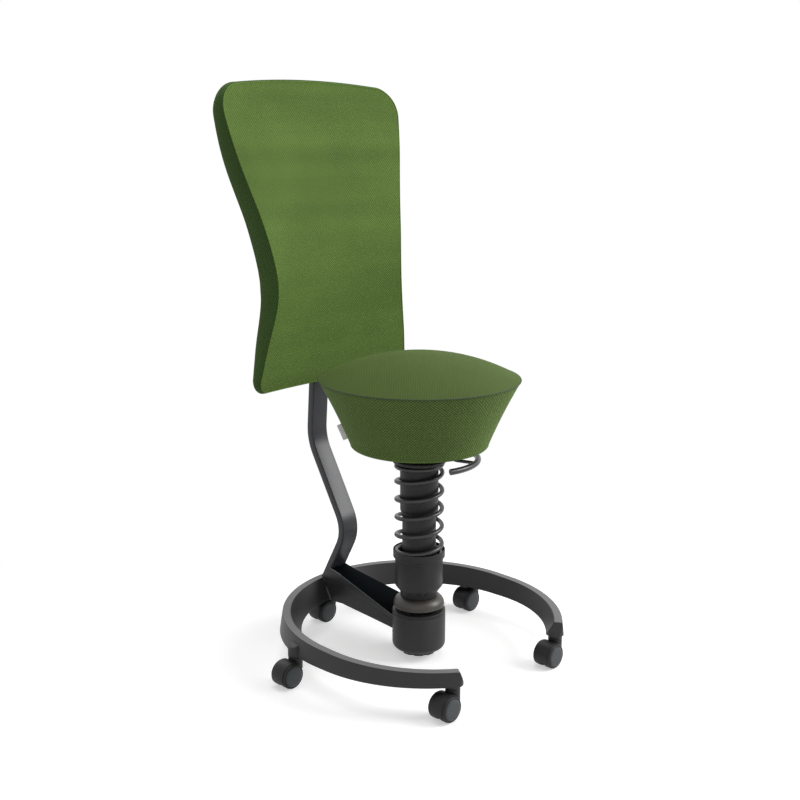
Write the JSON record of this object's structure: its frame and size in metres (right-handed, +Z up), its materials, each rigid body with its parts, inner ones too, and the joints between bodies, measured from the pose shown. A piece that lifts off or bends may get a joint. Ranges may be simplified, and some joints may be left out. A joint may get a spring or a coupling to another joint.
{
  "type": "balance stool with backrest",
  "caption": "Swaying sprung stool with a round padded seat on a telescoping coil-spring column, an open floor ring on castors and a tall padded backrest on a bent stem",
  "frame": {"origin": "on the floor under the column's axis", "axes": "+Z up; the backrest is at +Y and the floor ring opens towards -Y; +X is to the sitter's left"},
  "size_m": [0.5959, 0.5935, 1.153],
  "materials": {
    "frame_paint": "satin black powder coat",
    "stem_paint": "smooth satin black paint",
    "spring_paint": "satin black paint",
    "column_paint": "satin black paint",
    "steel": "bright turned steel",
    "chrome": "hard chromed rod",
    "black_plastic": "fine-grained black plastic",
    "bush_plastic": "plain bearing plastic",
    "rubber": "matt dark rubber",
    "tyre": "soft dark tread",
    "seat_fabric": "green spacer mesh",
    "pad_fabric": "green spacer mesh",
    "label_cloth": "plain white woven tape",
    "board_wood": "bare plywood"
  },
  "bodies": {
    "base": {"base_ring": "frame_paint", "spoke_arm": "frame_paint", "foot_cup": "frame_paint", "joint_collar": "column_paint", "backrest_stem": "stem_paint", "stem_bolts": "steel", "stem_clamp": "frame_paint", "clamp_screws": "steel", "backrest_shell": "black_plastic", "backrest_pad": "pad_fabric", "castor_1_stem": "steel", "castor_2_stem": "steel", "castor_3_stem": "steel", "castor_4_stem": "steel", "castor_5_stem": "steel"},
    "buffer": {"buffer_ring": "rubber"},
    "column": {"ball_foot": "steel", "joint_dome": "rubber", "spring_cup": "column_paint", "lower_tube": "column_paint", "guide_bush": "bush_plastic"},
    "sprung_head": {"coil_spring": "spring_paint", "upper_sleeve": "black_plastic", "spring_plate": "column_paint", "standpipe": "steel", "slide_bush": "bush_plastic", "lift_bush": "bush_plastic"},
    "turning_rod": {"gas_rod": "chrome", "rod_bearing": "steel"},
    "seat": {"gas_cylinder": "stem_paint", "seat_bracket": "frame_paint", "seat_board": "board_wood", "seat_screws": "steel", "seat_cushion": "seat_fabric", "seat_label": "label_cloth", "lever_pin": "steel"},
    "lever": {"lift_lever": "column_paint"},
    "valve": {"valve_pin": "steel"},
    "knob": {"stiffness_knob": "black_plastic"},
    "castor_1": {"castor_1_housing": "black_plastic", "castor_1_axle": "steel"},
    "castor_1_wheel_a": {"castor_1_wheel_a": "tyre"},
    "castor_1_wheel_b": {"castor_1_wheel_b": "tyre"},
    "castor_2": {"castor_2_housing": "black_plastic", "castor_2_axle": "steel"},
    "castor_2_wheel_a": {"castor_2_wheel_a": "tyre"},
    "castor_2_wheel_b": {"castor_2_wheel_b": "tyre"},
    "castor_3": {"castor_3_housing": "black_plastic", "castor_3_axle": "steel"},
    "castor_3_wheel_a": {"castor_3_wheel_a": "tyre"},
    "castor_3_wheel_b": {"castor_3_wheel_b": "tyre"},
    "castor_4": {"castor_4_housing": "black_plastic", "castor_4_axle": "steel"},
    "castor_4_wheel_a": {"castor_4_wheel_a": "tyre"},
    "castor_4_wheel_b": {"castor_4_wheel_b": "tyre"},
    "castor_5": {"castor_5_housing": "black_plastic", "castor_5_axle": "steel"},
    "castor_5_wheel_a": {"castor_5_wheel_a": "tyre"},
    "castor_5_wheel_b": {"castor_5_wheel_b": "tyre"}
  },
  "joints": [
    {"name": "sway_fore_aft", "type": "hinge", "parent": "base", "child": "buffer", "pos_m": [0, 0, 0.062], "axis": [1, 0, 0], "range_deg": [-3, 6], "stiffness_Nm_per_rad": 400},
    {"name": "sway_sideways", "type": "hinge", "parent": "buffer", "child": "column", "pos_m": [0, 0, 0.062], "axis": [0, 1, 0], "range_deg": [-6, 6], "stiffness_Nm_per_rad": 400},
    {"name": "bounce", "type": "slide", "parent": "column", "child": "sprung_head", "axis": [0, 0, 1], "range_m": [-0.04, 0], "stiffness_N_per_m": 15000, "springref_m": 0.0035, "deforming": ["coil_spring"]},
    {"name": "seat_swivel", "type": "hinge", "parent": "sprung_head", "child": "turning_rod", "pos_m": [0, 0, 0.219], "axis": [0, 0, 1], "continuous": true},
    {"name": "seat_lift", "type": "slide", "parent": "turning_rod", "child": "seat", "axis": [0, 0, 1], "range_m": [0, 0.1]},
    {"name": "lever_turn", "type": "hinge", "parent": "seat", "child": "lever", "pos_m": [0.02779, -0.02592, 0.4256], "axis": [0.682, 0.7314, 0], "range_deg": [-3.5, 0], "stiffness_Nm_per_rad": 6, "springref_deg": 3.44},
    {"name": "valve_press", "type": "slide", "parent": "seat", "child": "valve", "axis": [0, 0, 1], "range_m": [-0.003, 0]},
    {"name": "knob_turn", "type": "hinge", "parent": "base", "child": "knob", "pos_m": [0, 0, 0.01], "axis": [0, 0, 1], "range_deg": [-180, 180]},
    {"name": "castor_1_swivel", "type": "hinge", "parent": "base", "child": "castor_1", "pos_m": [-0.15653, -0.23008, 0.04], "axis": [0, 0, 1], "continuous": true},
    {"name": "castor_1_roll_a", "type": "hinge", "parent": "castor_1", "child": "castor_1_wheel_a", "pos_m": [-0.17853, -0.23008, 0.025], "axis": [0, 1, 0], "continuous": true},
    {"name": "castor_1_roll_b", "type": "hinge", "parent": "castor_1", "child": "castor_1_wheel_b", "pos_m": [-0.17853, -0.23008, 0.025], "axis": [0, 1, 0], "continuous": true},
    {"name": "castor_2_swivel", "type": "hinge", "parent": "base", "child": "castor_2", "pos_m": [0.15653, -0.23008, 0.04], "axis": [0, 0, 1], "continuous": true},
    {"name": "castor_2_roll_a", "type": "hinge", "parent": "castor_2", "child": "castor_2_wheel_a", "pos_m": [0.13453, -0.23008, 0.025], "axis": [0, 1, 0], "continuous": true},
    {"name": "castor_2_roll_b", "type": "hinge", "parent": "castor_2", "child": "castor_2_wheel_b", "pos_m": [0.13453, -0.23008, 0.025], "axis": [0, 1, 0], "continuous": true},
    {"name": "castor_3_swivel", "type": "hinge", "parent": "base", "child": "castor_3", "pos_m": [-0.26544, 0.08081, 0.04], "axis": [0, 0, 1], "continuous": true},
    {"name": "castor_3_roll_a", "type": "hinge", "parent": "castor_3", "child": "castor_3_wheel_a", "pos_m": [-0.28744, 0.08081, 0.025], "axis": [0, 1, 0], "continuous": true},
    {"name": "castor_3_roll_b", "type": "hinge", "parent": "castor_3", "child": "castor_3_wheel_b", "pos_m": [-0.28744, 0.08081, 0.025], "axis": [0, 1, 0], "continuous": true},
    {"name": "castor_4_swivel", "type": "hinge", "parent": "base", "child": "castor_4", "pos_m": [0.26544, 0.08081, 0.04], "axis": [0, 0, 1], "continuous": true},
    {"name": "castor_4_roll_a", "type": "hinge", "parent": "castor_4", "child": "castor_4_wheel_a", "pos_m": [0.24344, 0.08081, 0.025], "axis": [0, 1, 0], "continuous": true},
    {"name": "castor_4_roll_b", "type": "hinge", "parent": "castor_4", "child": "castor_4_wheel_b", "pos_m": [0.24344, 0.08081, 0.025], "axis": [0, 1, 0], "continuous": true},
    {"name": "castor_5_swivel", "type": "hinge", "parent": "base", "child": "castor_5", "pos_m": [0, 0.2685, 0.04], "axis": [0, 0, 1], "continuous": true},
    {"name": "castor_5_roll_a", "type": "hinge", "parent": "castor_5", "child": "castor_5_wheel_a", "pos_m": [-0.022, 0.2685, 0.025], "axis": [0, 1, 0], "continuous": true},
    {"name": "castor_5_roll_b", "type": "hinge", "parent": "castor_5", "child": "castor_5_wheel_b", "pos_m": [-0.022, 0.2685, 0.025], "axis": [0, 1, 0], "continuous": true}
  ],
  "couplings": [
    {"joint": "valve_press", "follows": "lever_turn", "m_per_rad": 0.04}
  ]
}
